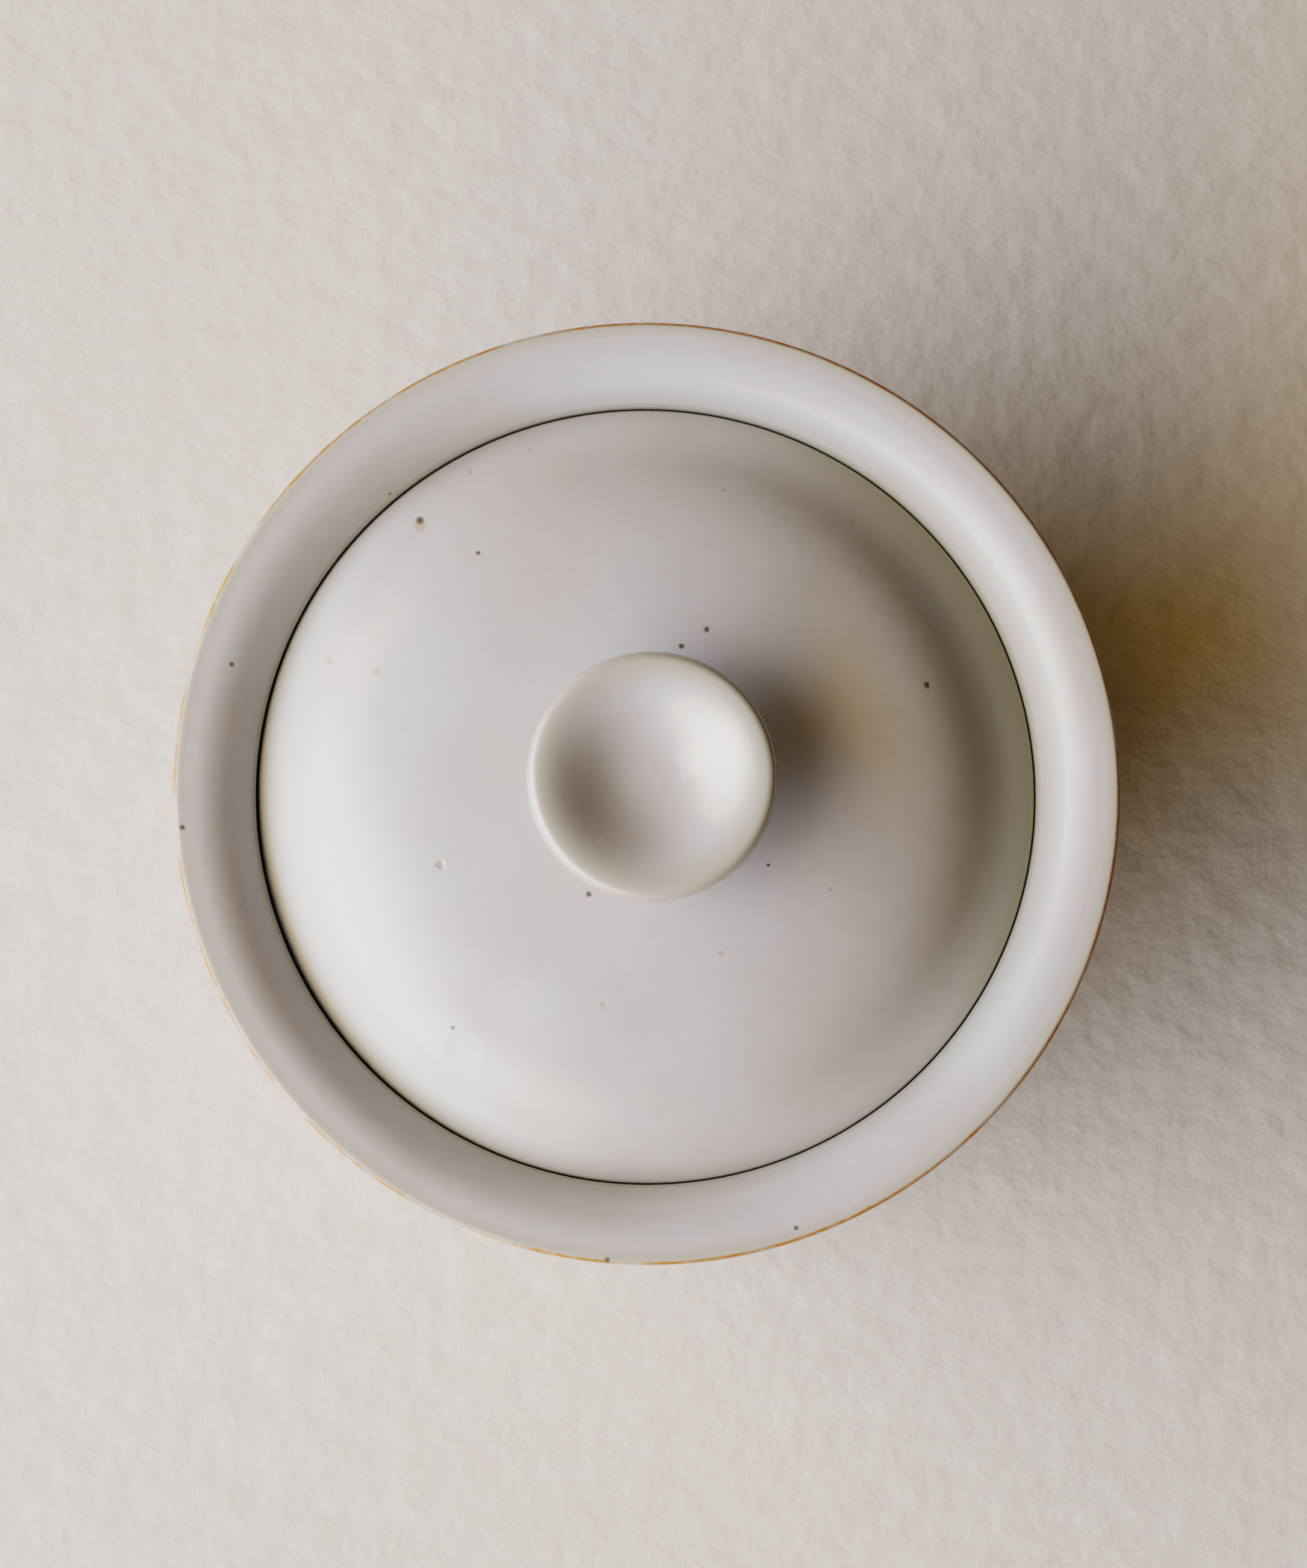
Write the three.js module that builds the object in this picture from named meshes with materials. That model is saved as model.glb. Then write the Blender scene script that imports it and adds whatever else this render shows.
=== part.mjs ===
// Lidded stoneware bowl for go stones, in millimetres, +Z up, origin at the centre of the foot's base.
// Three fired clay pieces: the bowl, a lid that drops into a stepped well inside its rim, and the
// dished knob that is luted to the lid. Each one is turned, so each is a profile spun about Z.
import * as THREE from "three";

// ---- Driving dimensions -------------------------------------------------------------------------
const lidRadius = 57.7;
const bowlHeight = 84; // lip above the table

// Rim: a flat lip, a convex roll and a straight cone that lead down to the lid
const rimFlare = 11.5; // from the well's wall out to the lip
const lipFlat = 2;
const lipEdge = 2.6; // thickness of the lip where it ends
const lipRound = 0.6;
const rollRadius = 10;
const coneSlope = THREE.MathUtils.degToRad(57);
const flareDrop = 2.6; // the rim's underside falls this much before it turns down the neck

// Well and seat for the lid
const lidGap = 0.8; // radial, between the lid's edge and the well
const lidSink = 1.45; // the lid's edge lies this far below the foot of the cone
const seatGap = 0.1; // the lid rests on grains of unglazed clay
const seatWidth = 5;
const seatDepth = 4.5; // thickness of the ledge
const seatRound = 0.8;
const ledgeDrop = 3; // how far the ledge's underside falls away to the wall

// Body and foot
const wall = 4.8;
const floorThickness = 5.5;
const bellySwell = 3; // how far the belly stands out past the neck
const bellyHeight = 45;
const footRadius = 38;
const footWidth = 5.2;
const footHeight = 5;
const footRound = 0.8;
const floorRadius = 30; // flat middle of the floor inside

// Lid
const lidEdge = 3.5;
const lidEdgeRound = 1.3;
const lidRise = 13;
const lidWall = 4.6;
const ringGap = 0.9; // radial, between the locating ring and the mouth
const ringThickness = 4;
const ringDepth = 6; // below the seat
const ringRound = 0.9;

// Knob
const knobRadius = 18;
const knobHeight = 14;
const knobFootRadius = 10.5;
const knobFootEdge = 0.6;
const knobNeckRadius = 8.4;
const knobNeckHeight = 3.8;
const knobRimDrop = 2.4; // the knob's widest circle lies this far below its lip
const knobLipWidth = 2; // from the widest circle in to the top of the lip
const dishDepth = 5.6;
const dishWidening = 1.3; // above 1 the floor of the dish is wider than its wall

// How full each curve is: its control points go this share of the way to its corner
const bellyFullness = 0.55;
const neckFullness = 0.45;
const floorFullness = 0.6;
const knobFullness = 0.6;

// The dome as shares of the lid's radius and rise: nearly flat in the middle, with a steep shoulder
const domeShares = [
  [0.35, 0.975],
  [0.55, 0.885],
  [0.63, 0.825],
  [0.71, 0.725],
  [0.79, 0.575],
  [0.86, 0.395],
  [0.94, 0.13],
];

// Facets round the circle, and steps along a curved stretch
const bodySegments = 48;
const knobSegments = 40;
const bodySteps = 6;
const domeSteps = 12;
const roundSteps = 3;
const knobSteps = 5;
const dishSteps = 6;

// ---- What follows from them ---------------------------------------------------------------------
const wellRadius = lidRadius + lidGap;
const rimRadius = wellRadius + rimFlare;
const rollCentreRadius = rimRadius - lipFlat;
const rollEndRadius = rollCentreRadius - rollRadius * Math.sin(coneSlope);
const rollEndHeight = bowlHeight - rollRadius * (1 - Math.cos(coneSlope));
const coneFootHeight = rollEndHeight - (rollEndRadius - wellRadius) * Math.tan(coneSlope);
const lidEdgeTop = coneFootHeight - lidSink;
const lidEdgeBottom = lidEdgeTop - lidEdge;
const seatHeight = lidEdgeBottom - seatGap;
const mouthRadius = wellRadius - seatWidth;
const neckRadius = wellRadius + wall;
const bellyRadius = neckRadius + bellySwell;
const ringRadius = mouthRadius - ringGap;
const lidTop = lidEdgeTop + lidRise;

// ---- Curves of a profile: r runs along x and height along y -------------------------------------
// Each starts where the path has got to and ends at r, z.
function levelToUpright(path, r, z, fullness) {
  const { x, y } = path.currentPoint;
  path.bezierCurveTo(x + (r - x) * fullness, y, r, z - (z - y) * fullness, r, z);
}

function uprightToLevel(path, r, z, fullness) {
  const { x, y } = path.currentPoint;
  path.bezierCurveTo(x, y + (z - y) * fullness, r - (r - x) * fullness, z, r, z);
}

function uprightToUpright(path, r, z, fullness) {
  const { x, y } = path.currentPoint;
  path.bezierCurveTo(x, y + (z - y) * fullness, r, z - (z - y) * fullness, r, z);
}

// ---- Profiles -----------------------------------------------------------------------------------
function bowlOutline() {
  const footInside = footRadius - footWidth;
  const floorHeight = footHeight + floorThickness;
  const innerBelly = bellyRadius - wall;
  const underLip = bowlHeight - lipEdge;
  const underSeat = seatHeight - seatDepth;
  const path = new THREE.Path();
  // Foot ring
  path.moveTo(0, footHeight);
  path.lineTo(footInside - footRound, footHeight);
  path.lineTo(footInside, footHeight - footRound);
  path.lineTo(footInside, footRound);
  path.lineTo(footInside + footRound, 0);
  path.lineTo(footRadius - footRound, 0);
  path.lineTo(footRadius, footRound);
  path.lineTo(footRadius, footHeight);
  // Outside: a round belly, a slight neck and the underside of the flared rim
  levelToUpright(path, bellyRadius, bellyHeight, bellyFullness);
  uprightToUpright(path, neckRadius, seatHeight, neckFullness);
  path.quadraticCurveTo(neckRadius, underLip - flareDrop, rimRadius, underLip);
  // Lip, roll, cone and well
  path.lineTo(rimRadius, bowlHeight - lipRound);
  path.lineTo(rimRadius - lipRound, bowlHeight);
  path.lineTo(rollCentreRadius, bowlHeight);
  const rollTop = Math.PI / 2;
  path.absarc(
    rollCentreRadius, bowlHeight - rollRadius, rollRadius, rollTop, rollTop + coneSlope, false,
  );
  path.lineTo(wellRadius, coneFootHeight);
  path.lineTo(wellRadius, seatHeight);
  path.lineTo(mouthRadius + seatRound, seatHeight);
  path.lineTo(mouthRadius, seatHeight - seatRound);
  path.lineTo(mouthRadius, underSeat);
  // Inside: under the ledge, the belly and the floor
  path.quadraticCurveTo(innerBelly, underSeat - ledgeDrop, innerBelly, bellyHeight);
  uprightToLevel(path, floorRadius, floorHeight, floorFullness);
  path.lineTo(0, floorHeight);
  return path.getPoints(bodySteps);
}

function lidOutline() {
  const padRadius = knobFootRadius + knobFootEdge;
  const edgeTopRadius = lidRadius - lidEdgeRound;
  const ringInside = ringRadius - ringThickness;
  const ringBottom = lidEdgeBottom - ringDepth;
  const dome = domeShares.map(([r, z]) => new THREE.Vector2(r * lidRadius, lidEdgeTop + z * lidRise));
  const top = new THREE.SplineCurve([
    new THREE.Vector2(padRadius, lidTop),
    ...dome,
    new THREE.Vector2(edgeTopRadius, lidEdgeTop),
  ]);
  const edge = new THREE.Path();
  edge.absarc(edgeTopRadius, lidEdgeTop - lidEdgeRound, lidEdgeRound, Math.PI / 2, 0, true);
  // The hollow inside the ring runs a wall's thickness under the dome.
  const hollow = dome
    .filter((point) => point.x < ringInside)
    .map((point) => new THREE.Vector2(point.x, point.y - lidWall));

  return [
    new THREE.Vector2(0, lidTop - lidWall),
    ...hollow,
    new THREE.Vector2(ringInside, lidEdgeBottom),
    new THREE.Vector2(ringInside, ringBottom + ringRound),
    new THREE.Vector2(ringInside + ringRound, ringBottom),
    new THREE.Vector2(ringRadius - ringRound, ringBottom),
    new THREE.Vector2(ringRadius, ringBottom + ringRound),
    new THREE.Vector2(ringRadius, lidEdgeBottom),
    new THREE.Vector2(lidRadius - ringRound, lidEdgeBottom),
    new THREE.Vector2(lidRadius, lidEdgeBottom + ringRound),
    ...edge.getPoints(roundSteps).slice(1).reverse(),
    ...top.getPoints(domeSteps).reverse(),
    new THREE.Vector2(0, lidTop),
  ];
}

function knobOutline() {
  const lip = lidTop + knobHeight;
  const dishRadius = knobRadius - knobLipWidth;
  const path = new THREE.Path();
  path.moveTo(0, lidTop);
  path.lineTo(knobFootRadius, lidTop);
  path.lineTo(knobFootRadius, lidTop + knobFootEdge);
  levelToUpright(path, knobNeckRadius, lidTop + knobNeckHeight, knobFullness);
  uprightToUpright(path, knobRadius, lip - knobRimDrop, neckFullness);
  uprightToLevel(path, dishRadius, lip, knobFullness);
  const points = path.getPoints(knobSteps);
  for (let step = 1; step <= dishSteps; step++) {
    const share = 1 - step / dishSteps;
    const depth = (dishDepth * (1 + Math.cos(Math.PI * share ** dishWidening))) / 2;
    points.push(new THREE.Vector2(dishRadius * share, lip - depth));
  }
  return points;
}

// ---- Pieces -------------------------------------------------------------------------------------
function glaze(colour, roughness) {
  return new THREE.MeshStandardMaterial({ color: colour, roughness, metalness: 0 });
}

// A turned solid standing along +Z. Its profile starts on the axis at the bottom, runs up the outside
// and ends on the axis at the top.
function turned(name, outline, segments, material) {
  const geometry = new THREE.LatheGeometry(outline, segments);
  geometry.rotateX(Math.PI / 2);
  const mesh = new THREE.Mesh(geometry, material);
  mesh.name = name;
  return mesh;
}

const set = new THREE.Group();
set.name = "go_stone_bowl";
set.add(turned("bowl", bowlOutline(), bodySegments, glaze(0xbfb6b1, 0.35)));

const cover = new THREE.Group();
cover.name = "cover";
cover.add(turned("lid", lidOutline(), bodySegments, glaze(0xc6c1c0, 0.3)));
cover.add(turned("knob", knobOutline(), knobSegments, glaze(0xc4bcae, 0.25)));
set.add(cover);

export default set;
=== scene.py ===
# Lidded stoneware bowl for go stones: a turned bowl, its lid and the dished knob luted to the lid.
# Lengths are in metres, and heights are above the table.
import math

import bpy
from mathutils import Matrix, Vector
from mathutils.geometry import interpolate_bezier


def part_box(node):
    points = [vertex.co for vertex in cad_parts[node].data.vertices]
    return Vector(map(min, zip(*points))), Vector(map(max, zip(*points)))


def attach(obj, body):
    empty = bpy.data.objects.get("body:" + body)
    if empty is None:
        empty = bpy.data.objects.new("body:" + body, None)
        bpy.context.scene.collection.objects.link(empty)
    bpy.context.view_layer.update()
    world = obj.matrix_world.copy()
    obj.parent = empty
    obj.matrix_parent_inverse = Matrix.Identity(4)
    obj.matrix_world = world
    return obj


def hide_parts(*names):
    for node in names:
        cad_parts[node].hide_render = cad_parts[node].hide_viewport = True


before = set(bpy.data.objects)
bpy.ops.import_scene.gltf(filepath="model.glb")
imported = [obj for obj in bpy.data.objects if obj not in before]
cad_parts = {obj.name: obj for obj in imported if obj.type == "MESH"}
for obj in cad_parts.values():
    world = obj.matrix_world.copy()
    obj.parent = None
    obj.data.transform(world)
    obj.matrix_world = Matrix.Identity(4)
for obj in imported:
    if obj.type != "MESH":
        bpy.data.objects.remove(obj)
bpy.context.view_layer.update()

MM = 0.001

# ---- Sizes from the frame ------------------------------------------------------------------------
bowl_low, bowl_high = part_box("bowl")
lid_low, lid_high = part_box("lid")
knob_low, knob_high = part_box("knob")
TABLE = bowl_low.z
LIP = bowl_high.z
RIM = bowl_high.x
LID_RADIUS = lid_high.x
LID_TOP = lid_high.z
RING_BOTTOM = lid_low.z
KNOB_RADIUS = knob_high.x
KNOB_LIP = knob_high.z

# ---- Sizes of the rim, well and seat -------------------------------------------------------------
LIP_FLAT = 2 * MM
LIP_EDGE = 2.6 * MM
LIP_LEAN = 0.12 * MM  # the lip stands this much higher at its outer edge
ROLL_RADIUS = 10 * MM
ROLL_START = 97  # degrees: where the lip's lean meets the roll
CONE_SLOPE = math.radians(57)
LID_GAP = 0.8 * MM
GLAZE = 0.12 * MM  # how far the glaze stands out from the clay
EDGE_GLAZE = 0.5 * MM  # and where it rolls over the lid's edge
LID_SINK = 1.45 * MM
SEAT_GAP = 0.1 * MM
SEAT_WIDTH = 5 * MM
SEAT_DEPTH = 4.5 * MM
RING_DEPTH = 6 * MM
LID_EDGE = 3.5 * MM
WELL = LID_RADIUS + LID_GAP
EDGE_BOTTOM = RING_BOTTOM + RING_DEPTH
EDGE_TOP = EDGE_BOTTOM + LID_EDGE
SEAT = EDGE_BOTTOM - SEAT_GAP
CONE_FOOT = EDGE_TOP + LID_SINK
MOUTH = WELL - SEAT_WIDTH

# ---- Sizes of the body, lid and knob -------------------------------------------------------------
WALL = 4.8 * MM
NECK = WELL + WALL
BELLY = NECK + 3 * MM
BELLY_HEIGHT = 45 * MM
FOOT = 38 * MM
FOOT_WIDTH = 5.2 * MM
FOOT_HEIGHT = 5 * MM
FLOOR_TOP = FOOT_HEIGHT + 5.5 * MM
FLOOR_FLAT = 30 * MM
LID_WALL = 4.6 * MM
SHOULDER_SLOPE = math.radians(36)
HOLLOW_SLOPE = math.radians(26)
RING = MOUTH - 0.9 * MM
RING_THICKNESS = 4 * MM
KNOB_FOOT = 10.5 * MM
KNOB_NECK = 8.4 * MM
KNOB_NECK_HEIGHT = 3.8 * MM
KNOB_RIM_DROP = 2.4 * MM
KNOB_LIP_WIDTH = 2 * MM
DISH_DEPTH = 5.6 * MM
DISH_WIDENING = 1.3


# ---- Drawing a profile: pairs of radius and height -----------------------------------------------
def line(outline, radius, height, steps=1):
    """Carries the outline on along a straight line."""
    start = outline[-1]
    for step in range(1, steps + 1):
        share = step / steps
        outline.append((
            start[0] + (radius - start[0]) * share,
            start[1] + (height - start[1]) * share,
        ))


def curve(outline, first_handle, second_handle, end, steps):
    """Carries the outline on along a Bezier curve."""
    knots = [Vector((*point, 0)) for point in (outline[-1], first_handle, second_handle, end)]
    outline.extend((point.x, point.y) for point in interpolate_bezier(*knots, steps + 1)[1:])


def along(point, slope, distance):
    """A point further out and down a slope, or back up it for a negative distance."""
    return (point[0] + distance * math.cos(slope), point[1] - distance * math.sin(slope))


def arc(outline, centre, radius, start, end, steps):
    """Carries the outline on round a part of a circle, angles in degrees."""
    for step in range(steps + 1):
        angle = math.radians(start + (end - start) * step / steps)
        outline.append((centre[0] + radius * math.cos(angle), centre[1] + radius * math.sin(angle)))


def throwing_rings(outline, first, pitch, depth, low, high):
    """Leaves the shallow ridges of the potter's fingers on the stretch from `first` on."""
    for index in range(first, len(outline)):
        radius, height = outline[index]
        share = min(max((height - low) / (high - low), 0), 1)
        fade = math.sin(math.pi * share)
        outline[index] = (radius + depth * fade * math.sin(2 * math.pi * height / pitch), height)


# ---- Modelling tools -----------------------------------------------------------------------------
def deselect():
    bpy.ops.object.select_all(action="DESELECT")


def turn(name, outline, segments):
    """Draws the outline from one vertex, extruding it point by point, and spins it about the axis."""
    deselect()
    radius, height = outline[0]
    bpy.ops.mesh.primitive_plane_add(size=MM, location=(radius, 0, height))
    piece = bpy.context.object
    piece.name = name
    bpy.ops.object.transform_apply(location=True, rotation=True, scale=True)
    bpy.ops.object.mode_set(mode="EDIT")
    bpy.ops.mesh.select_all(action="SELECT")
    bpy.ops.mesh.merge(type="CENTER")
    for before, after in zip(outline, outline[1:]):
        step = (after[0] - before[0], 0, after[1] - before[1])
        bpy.ops.mesh.extrude_vertices_move(TRANSFORM_OT_translate={"value": step})
    bpy.ops.mesh.select_all(action="SELECT")
    bpy.ops.mesh.spin(steps=segments, angle=2 * math.pi, center=(0, 0, 0), axis=(0, 0, 1))
    bpy.ops.mesh.select_all(action="SELECT")
    bpy.ops.mesh.remove_doubles(threshold=0.01 * MM)
    bpy.ops.mesh.normals_make_consistent(inside=False)
    bpy.ops.object.mode_set(mode="OBJECT")
    bpy.ops.object.shade_smooth()
    return piece


def apply_modifier(piece, kind, **settings):
    deselect()
    piece.select_set(True)
    bpy.context.view_layer.objects.active = piece
    bpy.ops.object.modifier_add(type=kind)
    modifier = piece.modifiers[-1]
    for setting, value in settings.items():
        setattr(modifier, setting, value)
    bpy.ops.object.modifier_apply(modifier=modifier.name)


def refine(piece):
    apply_modifier(piece, "SUBSURF", levels=1, render_levels=1)


def press(piece, place, push, reach):
    """Pushes the surface at a place, as a hand does in wet clay, fading out over `reach`."""
    deselect()
    piece.select_set(True)
    bpy.context.view_layer.objects.active = piece
    bpy.ops.object.mode_set(mode="EDIT")
    bpy.ops.mesh.select_all(action="DESELECT")
    bpy.ops.object.mode_set(mode="OBJECT")
    nearest = min(piece.data.vertices, key=lambda vertex: (vertex.co - place).length)
    nearest.select = True
    bpy.ops.object.mode_set(mode="EDIT")
    bpy.ops.transform.translate(
        value=push, use_proportional_edit=True,
        proportional_edit_falloff="SMOOTH", proportional_size=reach,
    )
    bpy.ops.object.mode_set(mode="OBJECT")


def round_about(angle, radius, height):
    """The point at an angle in degrees, a radius and a height."""
    return Vector((radius * math.cos(math.radians(angle)), radius * math.sin(math.radians(angle)), height))


# ---- The three pieces ----------------------------------------------------------------------------
def draw_foot(outline):
    """From the axis across the turned recess and round the foot ring."""
    foot_inside = FOOT - FOOT_WIDTH
    round_off = 0.9 * MM
    line(outline, foot_inside - 4 * MM, FOOT_HEIGHT, 6)
    curve(
        outline, (foot_inside - 1 * MM, FOOT_HEIGHT), (foot_inside, FOOT_HEIGHT - 1 * MM),
        (foot_inside, FOOT_HEIGHT - 2.5 * MM), 6,
    )
    line(outline, foot_inside, round_off)
    arc(outline, (foot_inside + round_off, round_off), round_off, 180, 270, 3)
    arc(outline, (FOOT - round_off, round_off), round_off, 270, 360, 4)
    line(outline, FOOT, FOOT_HEIGHT - 1.2 * MM, 2)


def draw_belly(outline):
    """Up the outside to the neck."""
    belly_start = len(outline)
    curve(
        outline, (FOOT + (BELLY - FOOT) * 0.5, FOOT_HEIGHT + 0.6 * MM), (BELLY, BELLY_HEIGHT * 0.5),
        (BELLY, BELLY_HEIGHT), 40,
    )
    reach = (SEAT - BELLY_HEIGHT) * 0.45
    curve(outline, (BELLY, BELLY_HEIGHT + reach), (NECK, SEAT - reach), (NECK, SEAT), 24)
    throwing_rings(outline, belly_start, 5.4 * MM, 0.1 * MM, FOOT_HEIGHT, SEAT)


def draw_lip(outline):
    """Out along the underside of the rim and round the lip."""
    under_lip = LIP - LIP_EDGE
    curve(
        outline, (NECK, SEAT + 3.4 * MM), (RIM - 3.4 * MM, under_lip - 1.4 * MM),
        (RIM - 0.5 * MM, under_lip + 0.3 * MM), 12,
    )
    curve(
        outline, (RIM + 0.1 * MM, under_lip + 0.7 * MM), (RIM + GLAZE, LIP - 1.3 * MM),
        (RIM + GLAZE, LIP - 0.75 * MM), 5,
    )
    curve(
        outline, (RIM + GLAZE, LIP - 0.2 * MM), (RIM - 0.2 * MM, LIP + LIP_LEAN),
        (RIM - 0.8 * MM, LIP + LIP_LEAN), 6,
    )


def draw_well(outline):
    """Over the roll and down the cone and the well, then in along the seat to the mouth."""
    arc(
        outline, (RIM - LIP_FLAT, LIP - ROLL_RADIUS), ROLL_RADIUS,
        ROLL_START, 90 + math.degrees(CONE_SLOPE), 13,
    )
    line(outline, WELL + 0.3 * MM, CONE_FOOT + 0.3 * MM * math.tan(CONE_SLOPE), 2)
    well_top = WELL - GLAZE
    curve(
        outline, (WELL + 0.05 * MM, CONE_FOOT + 0.1 * MM), (well_top, CONE_FOOT - 0.1 * MM),
        (well_top, CONE_FOOT - 0.5 * MM), 4,
    )
    line(outline, well_top, CONE_FOOT - 2.2 * MM, 2)
    line(outline, WELL, CONE_FOOT - 3 * MM)
    line(outline, WELL, SEAT + 0.5 * MM)
    curve(
        outline, (WELL, SEAT + 0.1 * MM), (WELL - 0.1 * MM, SEAT), (WELL - 0.6 * MM, SEAT), 3,
    )
    line(outline, MOUTH + 1 * MM, SEAT, 2)
    curve(
        outline, (MOUTH + 0.3 * MM, SEAT), (MOUTH, SEAT - 0.3 * MM), (MOUTH, SEAT - 1 * MM), 4,
    )


def draw_inside(outline):
    """Round the ledge and its underside, down the wall and across the floor to the axis."""
    under_seat = SEAT - SEAT_DEPTH
    inner_belly = BELLY - WALL
    line(outline, MOUTH, under_seat + 0.8 * MM, 2)
    curve(
        outline, (MOUTH, under_seat - 0.2 * MM), (MOUTH + 0.4 * MM, under_seat - 0.5 * MM),
        (MOUTH + 1.4 * MM, under_seat - 0.9 * MM), 4,
    )
    curve(
        outline, (MOUTH + 6 * MM, under_seat - 2.6 * MM), (inner_belly, under_seat - 9 * MM),
        (inner_belly, BELLY_HEIGHT), 14,
    )
    inside_start = len(outline)
    curve(
        outline, (inner_belly, FLOOR_TOP + (BELLY_HEIGHT - FLOOR_TOP) * 0.4),
        (FLOOR_FLAT + (inner_belly - FLOOR_FLAT) * 0.6, FLOOR_TOP), (FLOOR_FLAT, FLOOR_TOP), 24,
    )
    throwing_rings(outline, inside_start, 6 * MM, 0.12 * MM, FLOOR_TOP, BELLY_HEIGHT)
    line(outline, 0, FLOOR_TOP, 6)


def bowl_outline():
    outline = [(0, FOOT_HEIGHT - 0.4 * MM)]
    for draw in (draw_foot, draw_belly, draw_lip, draw_well, draw_inside):
        draw(outline)
    return outline


def lid_outline():
    round_off = 1.0 * MM
    ring_inside = RING - RING_THICKNESS
    outline = [(0, LID_TOP)]
    # Dome: nearly level in the middle, bending to a steep even slope that rounds over the edge
    line(outline, KNOB_FOOT, LID_TOP, 4)
    bend = (0.88 * LID_RADIUS, EDGE_TOP + 4.7 * MM)
    edge = LID_RADIUS + EDGE_GLAZE
    shoulder = (edge - 0.5 * MM, EDGE_TOP + 0.3 * MM)
    curve(
        outline, (KNOB_FOOT + 28 * MM, LID_TOP), along(bend, SHOULDER_SLOPE, -7 * MM), bend, 34,
    )
    line(outline, *shoulder, 8)
    curve(
        outline, along(shoulder, SHOULDER_SLOPE, 0.4 * MM), (edge, EDGE_TOP - 0.1 * MM),
        (edge, EDGE_TOP - 0.5 * MM), 6,
    )
    # Edge and the flat that rests on the seat
    line(outline, edge, EDGE_TOP - 1 * MM)
    line(outline, LID_RADIUS, EDGE_TOP - 2 * MM)
    line(outline, LID_RADIUS, EDGE_BOTTOM + round_off)
    arc(outline, (LID_RADIUS - round_off, EDGE_BOTTOM + round_off), round_off, -20, -90, 3)
    line(outline, RING + 0.7 * MM, EDGE_BOTTOM, 2)
    # Locating ring
    curve(
        outline, (RING + 0.2 * MM, EDGE_BOTTOM), (RING, EDGE_BOTTOM - 0.2 * MM),
        (RING, EDGE_BOTTOM - 0.8 * MM), 3,
    )
    line(outline, RING, RING_BOTTOM + round_off, 2)
    arc(outline, (RING - round_off, RING_BOTTOM + round_off), round_off, -15, -90, 3)
    arc(outline, (ring_inside + round_off, RING_BOTTOM + round_off), round_off, 270, 180, 4)
    # Hollow under the dome
    line(outline, ring_inside, EDGE_BOTTOM - 1 * MM, 2)
    haunch = (ring_inside - 5.4 * MM, EDGE_BOTTOM + 7.2 * MM)
    curve(
        outline, (ring_inside, EDGE_BOTTOM + 2.6 * MM), along(haunch, HOLLOW_SLOPE, 3.6 * MM), haunch, 12,
    )
    curve(
        outline, along(haunch, HOLLOW_SLOPE, -10 * MM), (16 * MM, LID_TOP - LID_WALL),
        (0, LID_TOP - LID_WALL), 16,
    )
    return outline


def knob_outline():
    base = knob_low.z
    widest = KNOB_LIP - KNOB_RIM_DROP
    widest_radius = KNOB_RADIUS + GLAZE
    dish = KNOB_RADIUS - KNOB_LIP_WIDTH + 0.4 * MM
    pool = 2.6 * MM
    outline = [(0, base - 0.05 * MM)]
    line(outline, KNOB_FOOT + pool, base - 0.05 * MM, 3)
    # Glaze pools in the corner between the lid and the neck
    curve(
        outline, (KNOB_FOOT + 0.4 * MM, base + 0.15 * MM), (KNOB_NECK, base + 1.1 * MM),
        (KNOB_NECK, base + KNOB_NECK_HEIGHT), 12,
    )
    curve(
        outline, (KNOB_NECK, base + KNOB_NECK_HEIGHT + 3.3 * MM), (KNOB_RADIUS - 0.2 * MM, widest - 3.6 * MM),
        (widest_radius, widest), 20,
    )
    curve(
        outline, (widest_radius, widest + KNOB_RIM_DROP * 0.65), (dish + KNOB_LIP_WIDTH * 0.62, KNOB_LIP),
        (dish, KNOB_LIP), 9,
    )
    steps = 22
    for step in range(1, steps + 1):
        share = 1 - step / steps
        depth = DISH_DEPTH * (1 + math.cos(math.pi * share ** DISH_WIDENING)) / 2
        outline.append((dish * share, KNOB_LIP - depth))
    return outline


# ---- Shader maths --------------------------------------------------------------------------------
class Value:
    """A number that varies over the surface. Arithmetic on it adds Math nodes."""

    def __init__(self, finish, socket):
        self.finish = finish
        self.socket = socket

    def maths(self, operation, *others, clamp=False):
        settings = {"operation": operation, "use_clamp": clamp}
        node = self.finish.node("ShaderNodeMath", settings, dict(enumerate((self, *others))))
        return Value(self.finish, node.outputs[0])

    def __add__(self, other):
        return self.maths("ADD", other)

    def __sub__(self, other):
        return self.maths("SUBTRACT", other)

    def __rsub__(self, other):
        return (self * -1).maths("ADD", other)

    def __mul__(self, other):
        return self.maths("MULTIPLY", other)

    def __truediv__(self, other):
        return self.maths("DIVIDE", other)

    __radd__ = __add__
    __rmul__ = __mul__


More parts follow.
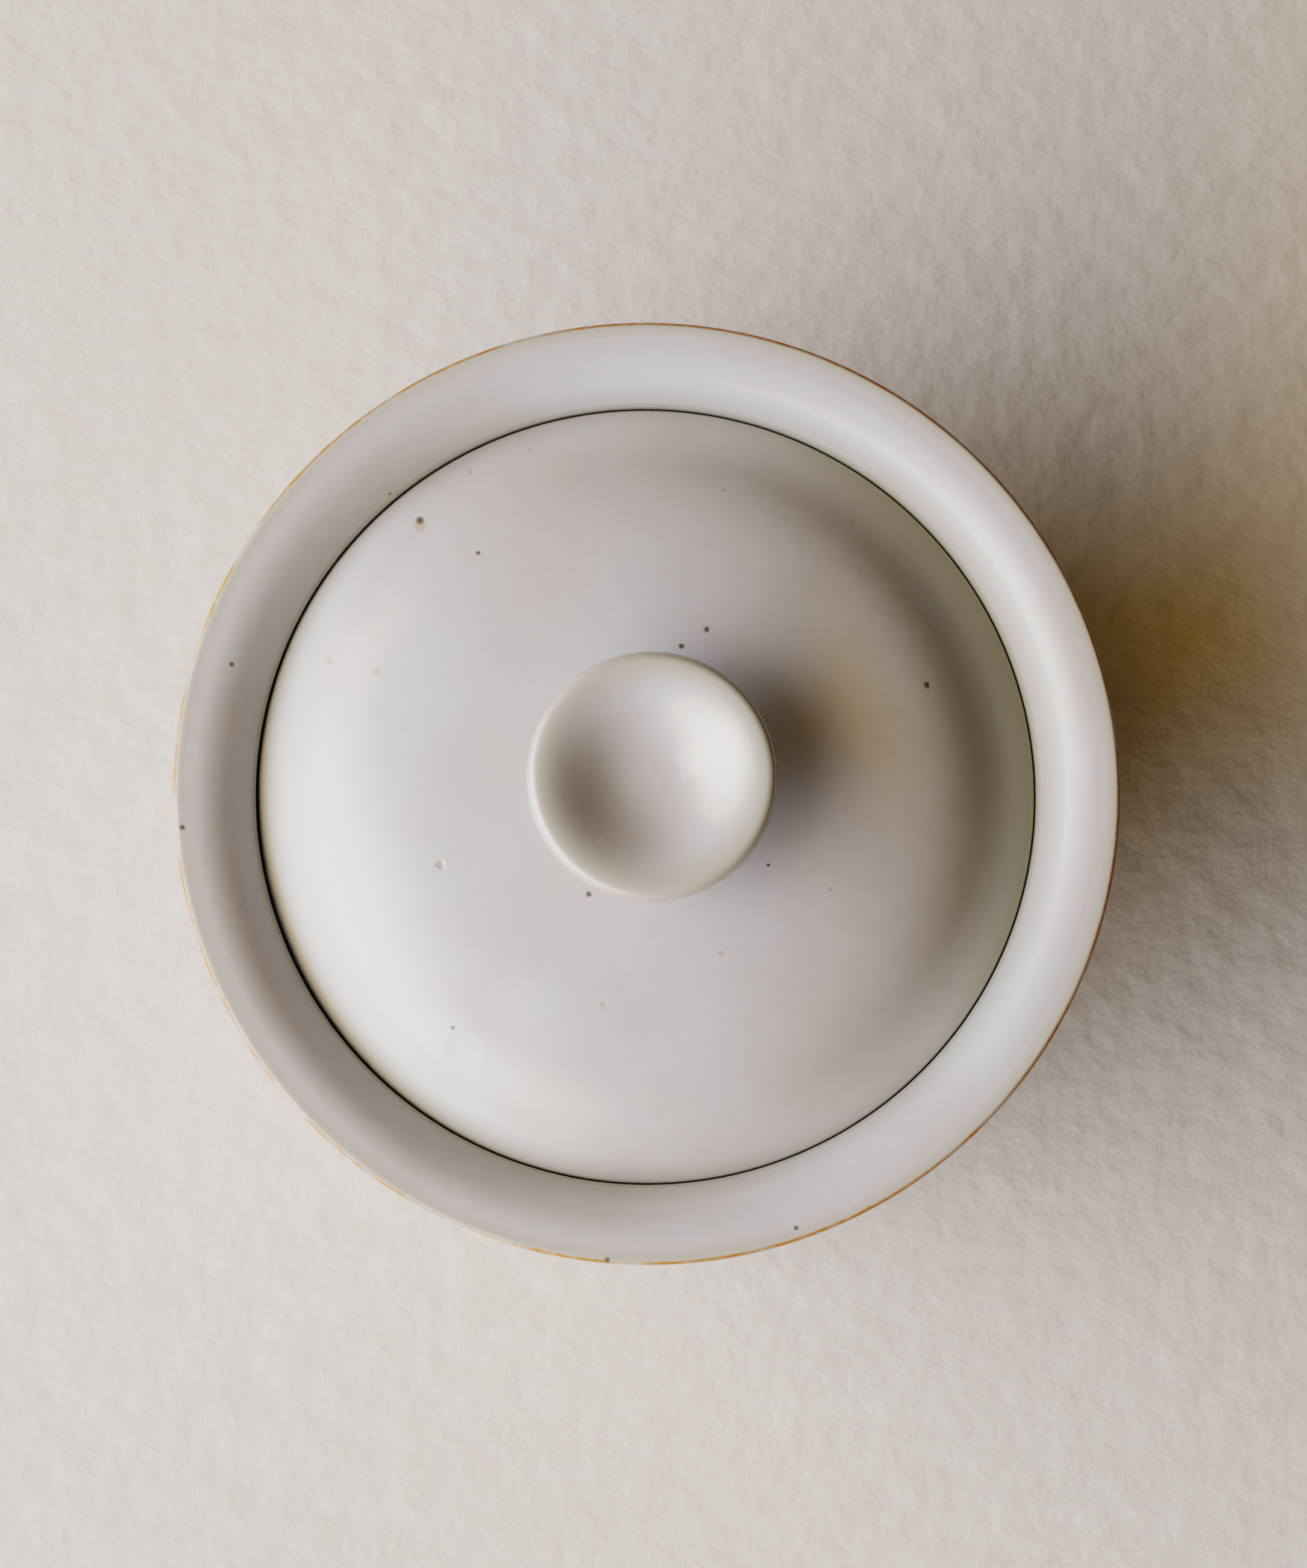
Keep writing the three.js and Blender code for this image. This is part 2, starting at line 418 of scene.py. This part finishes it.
class Finish:
    """A material under construction: one method adds a node, the rest are short names for common ones."""

    def __init__(self, name):
        self.material = bpy.data.materials.new(name)
        self.material.use_nodes = True
        self.tree = self.material.node_tree
        self.tree.nodes.clear()
        coordinates = self.node("ShaderNodeTexCoord")
        mapping = self.node("ShaderNodeMapping", {}, {"Vector": coordinates.outputs["Object"]})
        self.place = mapping.outputs[0]
        split = self.node("ShaderNodeSeparateXYZ", {}, {0: self.place})
        self.x, self.y, self.z = (Value(self, output) for output in split.outputs)
        self.radius = (self.x * self.x + self.y * self.y).maths("SQRT")

    def node(self, kind, settings=None, sockets=None):
        node = self.tree.nodes.new(kind)
        for setting, value in (settings or {}).items():
            setattr(node, setting, value)
        for key, value in (sockets or {}).items():
            socket = node.inputs[key]
            if isinstance(value, Value):
                value = value.socket
            if isinstance(value, bpy.types.NodeSocket):
                self.tree.links.new(value, socket)
            else:
                socket.default_value = value
        return node

    def noise(self, size, detail=2.0, roughness=0.5, place=None):
        """Cloudy noise round 0.5, with features about `size` across."""
        sockets = {
            "Vector": place or self.place, "Scale": 1 / size, "Detail": detail, "Roughness": roughness,
        }
        return Value(self, self.node("ShaderNodeTexNoise", {}, sockets).outputs[0])

    def ease(self, value, low, high):
        """0 at `low`, 1 at `high`, smooth between them. `low` may be above `high`."""
        sockets = {"Value": value, "From Min": low, "From Max": high}
        node = self.node("ShaderNodeMapRange", {"interpolation_type": "SMOOTHSTEP"}, sockets)
        return Value(self, node.outputs["Result"])

    def blend(self, share, first, second):
        """The first colour where share is 0 and the second where it is 1."""
        node = self.node("ShaderNodeMix", {"data_type": "RGBA"}, {0: share, 6: first, 7: second})
        return node.outputs[2]

    def spots(self, places):
        """1 on small uneven spots, seen in plan. Each place is an angle in degrees, a radius and a size."""
        plan = self.node("ShaderNodeCombineXYZ", {}, {0: self.x, 1: self.y})
        uneven = (self.noise(0.7 * MM) - 0.5) * (0.5 * MM)
        total = 0
        for angle, radius, size in places:
            turn_by = math.radians(angle)
            centre = (radius * math.cos(turn_by) * MM, radius * math.sin(turn_by) * MM, 0)
            away = self.node(
                "ShaderNodeVectorMath", {"operation": "DISTANCE"}, {0: plan.outputs[0], 1: centre},
            )
            distance = Value(self, away.outputs["Value"]) + uneven
            total = self.ease(distance, size * MM, size * 0.3 * MM).maths("MAXIMUM", total)
        return total

    def scatter(self, cell, size, rarity):
        """1 on small round spots scattered through cells `cell` wide, in the share of them above rarity."""
        node = self.node(
            "ShaderNodeTexVoronoi", {"feature": "F1"},
            {"Vector": self.place, "Scale": 1 / cell, "Randomness": 1.0},
        )
        distance = Value(self, node.outputs["Distance"]) * cell
        chance = self.node("ShaderNodeSeparateColor", {}, {0: node.outputs["Color"]})
        chosen = Value(self, chance.outputs[0]).maths("GREATER_THAN", rarity)
        spread = Value(self, chance.outputs[1]) * 0.6 + 0.4
        return self.ease(distance / spread, size, size * 0.3) * chosen

    def finish_off(self, colour, roughness, height, **constants):
        """Puts the shader together. `height` is the relief in metres."""
        bump = self.node("ShaderNodeBump", {}, {"Height": height, "Distance": 1.0, "Strength": 1.0})
        sockets = {"Base Color": colour, "Roughness": roughness, "Normal": bump.outputs[0]}
        sockets.update(constants)
        shader = self.node("ShaderNodeBsdfPrincipled", {}, sockets)
        output = self.node("ShaderNodeOutputMaterial", {}, {"Surface": shader.outputs[0]})
        output.is_active_output = True
        return self.material


# ---- Glaze and clay ------------------------------------------------------------------------------
LAVENDER = (0.61, 0.59, 0.595, 1)
PINK_GREY = (0.56, 0.515, 0.49, 1)
BLUSH = (0.57, 0.50, 0.48, 1)
THIN_BEIGE = (0.50, 0.465, 0.375, 1)
# Painted light: a bluish white for the lid's edge on the side facing the lamps
PAINTED_LIGHT_WHITE = (0.90, 0.91, 0.95, 1)
THIN_CREAM = (0.66, 0.61, 0.50, 1)
# Olive of pooled glaze, also used as painted shade on the lid's shoulder and beside the lid's edge
OLIVE_POOL_AND_SHADE = (0.29, 0.29, 0.21, 1)
IRON_ORANGE = (0.46, 0.19, 0.04, 1)
IRON_DARK = (0.10, 0.075, 0.03, 1)
OCHRE = (0.36, 0.26, 0.10, 1)
CLAY = (0.40, 0.29, 0.20, 1)
CLAY_PALE = (0.52, 0.41, 0.30, 1)
PINHOLE = (0.85, 0.84, 0.83, 1)
GLAZE_IOR = 1.5
COAT_ROUGHNESS = 0.16

# The lid gets painted shade on this side, in degrees, turned from the lamps, and painted light on the
# opposite one
SHADED_SIDE = 16

# Iron specks, freckles and small dents in the glaze: angle in degrees, radius and size in millimetres
RIM_SPECKS = [(163.5, 64.3, 0.55), (288.5, 68.1, 0.5), (185, 68.9, 0.6), (265, 69.5, 0.6)]
LID_SPECKS = [
    (130, 53, 0.95), (126, 43, 0.5), (70, 24.5, 0.6), (77, 21, 0.6), (20.5, 44, 0.65),
    (241, 18.4, 0.65), (231, 45.6, 0.45), (326, 21, 0.35),
]
LID_DENTS = [(235, 47.5, 3.4), (201, 32.7, 0.9)]
LID_FRECKLES = [
    (130.6, 52.3, 1.4), (201, 32.7, 0.7), (158, 51, 0.8), (157, 43.7, 0.8), (119, 55, 0.5),
    (109, 54.4, 0.5), (46, 45.3, 0.5), (76, 46, 0.5), (53, 50.5, 0.5), (258, 33, 0.5),
    (330, 30.6, 0.5), (293, 26.8, 0.6),
]


def glaze_colour(finish):
    """Pale grey glaze that breaks softly between lavender and pinkish grey, with fine mottling."""
    clouds = finish.ease(finish.noise(38 * MM, 2.0), 0.38, 0.62)
    mottle = finish.ease(finish.noise(2.2 * MM, 3.0, 0.6), 0.35, 0.7)
    share = (clouds * 0.7 + mottle * 0.25).maths("MINIMUM", 1.0)
    colour = finish.blend(share, LAVENDER, PINK_GREY)
    pinholes = finish.scatter(2.6 * MM, 0.16 * MM, 0.86)
    return finish.blend(pinholes * 0.5, colour, PINHOLE)


def clay_colour(finish):
    """Bare stoneware: buff, with grog and iron grains."""
    grog = finish.ease(finish.noise(0.9 * MM, 3.0, 0.65), 0.4, 0.65)
    colour = finish.blend(grog, CLAY, CLAY_PALE)
    return finish.blend(finish.scatter(1.6 * MM, 0.22 * MM, 0.72), colour, IRON_DARK)


def glaze_relief(finish):
    """Orange-peel of the satin glaze, in metres."""
    return (finish.noise(3.5 * MM, 2.0) - 0.5) * (0.03 * MM)


def glazed_surface(finish, colour, bare, dents, gloss, coat):
    """Finishes a piece whose glaze stops at bare clay. `gloss` is the glaze's mean roughness."""
    colour = finish.blend(bare, colour, clay_colour(finish))
    cloudy = finish.noise(12 * MM, 2.0) - 0.5
    roughness = gloss + cloudy * 0.14 + bare * 0.45
    grain = (finish.noise(0.6 * MM, 2.0) - 0.5) * (0.12 * MM) * bare
    height = glaze_relief(finish) * (1 - bare) + grain + dents
    return finish.finish_off(colour, roughness, height, **{
        "Coat Weight": (1 - bare) * coat, "Coat Roughness": COAT_ROUGHNESS, "IOR": GLAZE_IOR,
    })


def thinning_at_lip(finish, colour, ragged, slow):
    """The glaze thins towards the lip, and iron shows where it breaks over the edge."""
    near_lip = finish.ease(finish.z, LIP - 3.4 * MM, LIP - 2.2 * MM)
    outward = finish.radius + ragged * 0.7 + slow
    blush = finish.ease(outward, RIM - 5 * MM, RIM - 2.6 * MM)
    colour = finish.blend(blush * near_lip * 0.3, colour, BLUSH)
    thin = finish.ease(outward, RIM - 2.6 * MM, RIM - 0.9 * MM)
    colour = finish.blend(thin * near_lip * 0.8, colour, THIN_BEIGE)
    breaks = finish.ease(finish.noise(14 * MM, 2.0), 0.4, 0.52)
    flecks = finish.ease(finish.noise(1.8 * MM, 2.0), 0.42, 0.56)
    iron = finish.ease(finish.radius + ragged * 0.4, RIM - 0.58 * MM, RIM - 0.3 * MM)
    iron = iron * near_lip * (breaks * 0.5 + flecks * 0.25 + 0.25)
    return finish.blend(iron, colour, IRON_ORANGE)


def pooling_and_shade_in_well(finish, colour, ragged):
    """It runs down the cone and pools olive in the well. Towards the well the olive is partly that pooling
    and partly painted shade beside the lid's edge.
    """
    # Partly pooled glaze, partly painted shade on the cone beside the lid's edge
    near_well = finish.ease(finish.radius + ragged, WELL + 3.4 * MM, WELL + 0.4 * MM)
    colour = finish.blend(near_well * 0.3, colour, OLIVE_POOL_AND_SHADE)
    in_well = finish.ease(finish.radius, WELL + 0.5 * MM, WELL + 0.1 * MM)
    in_well = in_well * finish.ease(finish.z, SEAT - 1.2 * MM, SEAT - 0.6 * MM)
    return finish.blend(in_well * 0.5, colour, OLIVE_POOL_AND_SHADE)


def bowl_specks(finish, colour):
    """Known specks on the rim, and others scattered over the outside."""
    specks = finish.spots(RIM_SPECKS) * finish.ease(finish.z, LIP - 7 * MM, LIP - 5 * MM)
    outside = finish.ease(finish.z, LIP - 3 * MM, LIP - 5 * MM)
    scattered = finish.scatter(12 * MM, 0.5 * MM, 0.62) * outside
    return finish.blend(specks.maths("MAXIMUM", scattered) * 0.85, colour, IRON_DARK)


def bare_seat(finish):
    """1 on the ledge where the lid sits, which is wiped clean of glaze."""
    on_seat = finish.ease(finish.radius, WELL + 0.1 * MM, WELL - 0.1 * MM)
    on_seat = on_seat * finish.ease(finish.z, SEAT + 0.9 * MM, SEAT + 0.5 * MM)
    return on_seat * finish.ease(finish.z, SEAT - 1.6 * MM, SEAT - 1.0 * MM)


def bowl_finish():
    finish = Finish("bowl glaze")
    ragged = (finish.noise(2.4 * MM, 3.0, 0.6) - 0.5) * MM
    slow = (finish.noise(26 * MM, 1.0) - 0.5) * MM
    colour = thinning_at_lip(finish, glaze_colour(finish), ragged, slow)
    colour = pooling_and_shade_in_well(finish, colour, ragged)
    colour = bowl_specks(finish, colour)
    # The foot is bare clay too, with a line above it that the fire flashed orange.
    foot_level = finish.z + ragged * 0.6 + slow * 1.6
    foot_bare = finish.ease(foot_level, 4.2 * MM, 3.4 * MM)
    bare = foot_bare.maths("MAXIMUM", bare_seat(finish))
    flash = finish.ease(foot_level, 5.6 * MM, 4.2 * MM) * (1 - foot_bare)
    colour = finish.blend(flash * 0.8, colour, IRON_ORANGE)
    return glazed_surface(finish, colour, bare, 0, 0.32, 0.3)


def paint_side_shading(finish, colour, ragged):
    """Painted shade darkens the shoulder olive on the side turned from the lamps, and painted light whitens
    the edge on the side facing them.
    """
    turned = math.radians(SHADED_SIDE)
    sideways = finish.x * math.cos(turned) + finish.y * math.sin(turned)
    # Painted shade: olive over the shoulder on the side away from the lamps
    olive = finish.ease(sideways + ragged * 4, 24 * MM, 52 * MM)
    olive = olive * finish.ease(finish.radius + ragged * 2, 40 * MM, 51 * MM)
    colour = finish.blend(olive * 0.58, colour, OLIVE_POOL_AND_SHADE)
    # Painted light: whiter over the edge on the side facing the lamps
    pale = finish.ease(sideways + ragged * 4, -14 * MM, -44 * MM)
    pale = pale * finish.ease(finish.radius + ragged, 51 * MM, 57 * MM)
    return finish.blend(pale * 0.9, colour, PAINTED_LIGHT_WHITE)


def lid_finish():
    finish = Finish("lid glaze")
    ragged = (finish.noise(2.4 * MM, 3.0, 0.6) - 0.5) * MM
    colour = paint_side_shading(finish, glaze_colour(finish), ragged)
    # The glaze breaks cream over the edge.
    upper = finish.ease(finish.z, EDGE_BOTTOM + 1.4 * MM, EDGE_BOTTOM + 2.2 * MM)
    thin = finish.ease(finish.radius + ragged * 0.8, LID_RADIUS - 2.6 * MM, LID_RADIUS - 1.2 * MM)
    colour = finish.blend(thin * upper * 0.06, colour, THIN_BEIGE)
    edge = finish.ease(finish.radius + ragged * 0.2, LID_RADIUS - 0.3 * MM, LID_RADIUS + 0.1 * MM)
    colour = finish.blend(edge * upper * 0.35, colour, THIN_CREAM)
    colour = finish.blend(finish.spots(LID_FRECKLES) * upper * 0.5, colour, OCHRE)
    colour = finish.blend(finish.spots(LID_SPECKS) * upper * 0.9, colour, IRON_DARK)
    # Bare clay where the lid sits: its flat and the outside of its ring
    under = finish.ease(finish.z + ragged * 0.3, EDGE_BOTTOM + 1.6 * MM, EDGE_BOTTOM + 1.1 * MM)
    ring_inside = RING - RING_THICKNESS
    outer = finish.ease(finish.radius, ring_inside + 0.2 * MM, ring_inside + 0.8 * MM)
    bare = under * outer
    dents = finish.spots(LID_DENTS) * (-0.16 * MM)
    return glazed_surface(finish, colour, bare, dents, 0.32, 0.3)


def knob_finish():
    finish = Finish("knob glaze")
    ragged = (finish.noise(2.0 * MM, 3.0, 0.6) - 0.5) * MM
    colour = glaze_colour(finish)
    top = finish.ease(finish.z, KNOB_LIP - 4.5 * MM, KNOB_LIP - 3 * MM)
    outward = finish.radius + ragged * 0.9
    lip = finish.ease(outward, KNOB_RADIUS - 6.5 * MM, KNOB_RADIUS - 1.6 * MM) * top
    colour = finish.blend(lip * 0.8, colour, THIN_BEIGE)
    edge = finish.radius + ragged * 0.3
    iron = finish.ease(edge, KNOB_RADIUS - 0.35 * MM, KNOB_RADIUS - 0.08 * MM) * top
    colour = finish.blend(iron * 0.2, colour, IRON_ORANGE)
    # The glaze pools olive in the corner at the foot.
    pool = finish.ease(finish.z, knob_low.z + 1.2 * MM, knob_low.z + 0.2 * MM)
    colour = finish.blend(pool * 0.4, colour, OLIVE_POOL_AND_SHADE)
    return glazed_surface(finish, colour, 0, 0, 0.22, 0.7)


# ---- Assembly ------------------------------------------------------------------------------------
BODY_SEGMENTS = 96
KNOB_SEGMENTS = 64

# Where hands and the kiln left the clay uneven: angle in degrees, radius or height, depth and reach
LID_PRESSES = [
    (196, 37, -0.14, 15), (238, 41, 0.20, 9), (247, 35, -0.16, 12), (158, 40, 0.12, 13),
    (95, 38, -0.12, 15), (20, 34, 0.12, 14), (310, 37, 0.14, 15),
]
BELLY_PRESSES = [
    (20, 38, 0.5, 30), (95, 30, -0.4, 26), (160, 48, 0.45, 28), (215, 33, 0.5, 26),
    (275, 44, -0.45, 30), (330, 26, 0.4, 24),
]


def turn_piece(name, outline, segments, finish, body, node, uneven=None):
    """Turns one piece, glazes it and puts it on its body. `uneven` is what leaves the clay uneven."""
    piece = turn(name, outline, segments)
    if uneven:
        uneven(piece)
    refine(piece)
    piece.data.materials.clear()
    piece.data.materials.append(finish)
    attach(piece, body)
    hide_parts(node)


def press_dome(lid):
    for angle, radius, depth, reach in LID_PRESSES:
        press(lid, round_about(angle, radius * MM, LID_TOP), (0, 0, -depth * MM), reach * MM)


def press_belly(bowl):
    for angle, height, depth, reach in BELLY_PRESSES:
        push = round_about(angle, -depth * MM, 0)
        press(bowl, round_about(angle, BELLY, height * MM), push, reach * MM)


turn_piece(
    "glazed_bowl", bowl_outline(), BODY_SEGMENTS, bowl_finish(), "bowl", "bowl", press_belly,
)
turn_piece(
    "glazed_lid", lid_outline(), BODY_SEGMENTS, lid_finish(), "lid", "lid", press_dome,
)
turn_piece("glazed_knob", knob_outline(), KNOB_SEGMENTS, knob_finish(), "lid", "knob")


# ---- Table, light and camera ---------------------------------------------------------------------
TABLE_SIZE = 4
TABLE_GREY = (0.72, 0.65, 0.58, 1)
TABLE_PALE = (0.76, 0.69, 0.62, 1)
TABLE_ROUGHNESS = 0.9
LIGHT_DISTANCE = 1.2
ROOM_COLOUR = (1.0, 0.7, 0.45, 1)
ROOM_STRENGTH = 0.01
CAMERA_PLACE = (-17.5 * MM, -59.2 * MM, LIP + 0.6)
CAMERA_TURN = (math.radians(5.69), math.radians(-1.74), 0)
CAMERA_LENS = 93.7


def table_finish():
    finish = Finish("pale table")
    mottle = finish.ease(finish.noise(9 * MM, 3.0), 0.3, 0.7)
    colour = finish.blend(mottle, TABLE_GREY, TABLE_PALE)
    height = (finish.noise(5 * MM, 3.0) - 0.5) * (0.4 * MM)
    return finish.finish_off(colour, TABLE_ROUGHNESS, height)


def aim(target, azimuth, elevation, distance):
    """A place round the target, and the turn that looks back at it."""
    direction = Vector((
        math.cos(math.radians(azimuth)) * math.cos(math.radians(elevation)),
        math.sin(math.radians(azimuth)) * math.cos(math.radians(elevation)),
        math.sin(math.radians(elevation)),
    ))
    return target + direction * distance, direction.to_track_quat("Z", "Y").to_euler()


def add_light(name, azimuth, elevation, width, height, power, colour):
    deselect()
    place, turned = aim(Vector((0, 0, LIP)), azimuth, elevation, LIGHT_DISTANCE)
    bpy.ops.object.light_add(type="AREA", location=place, rotation=turned)
    light = bpy.context.object
    light.name = name
    light.data.shape = "RECTANGLE"
    light.data.size = width
    light.data.size_y = height
    light.data.energy = power
    light.data.color = colour


def add_table():
    deselect()
    bpy.ops.mesh.primitive_plane_add(size=TABLE_SIZE, location=(0, 0, TABLE))
    table = bpy.context.object
    table.name = "table"
    table.data.materials.append(table_finish())


def add_room_light():
    world = bpy.data.worlds.new("room")
    bpy.context.scene.world = world
    world.use_nodes = True
    background = world.node_tree.nodes["Background"]
    background.inputs["Color"].default_value = ROOM_COLOUR
    background.inputs["Strength"].default_value = ROOM_STRENGTH


def add_camera():
    deselect()
    bpy.ops.object.camera_add(location=CAMERA_PLACE, rotation=CAMERA_TURN)
    camera = bpy.context.object
    camera.data.lens = CAMERA_LENS
    bpy.context.scene.camera = camera


add_table()
add_light("window", 200, 23, 1.9, 0.8, 31, (0.18, 0.48, 1.0))
add_light("bright wall", 200, 30, 3.2, 1.0, 38.4, (1.0, 0.69, 0.227))
add_light("ceiling", 195, 52, 0.6, 0.6, 3.3, (1.0, 0.89, 0.83))
add_room_light()
add_camera()
bpy.context.scene.view_settings.view_transform = "Filmic"
bpy.context.scene.view_settings.look = "High Contrast"
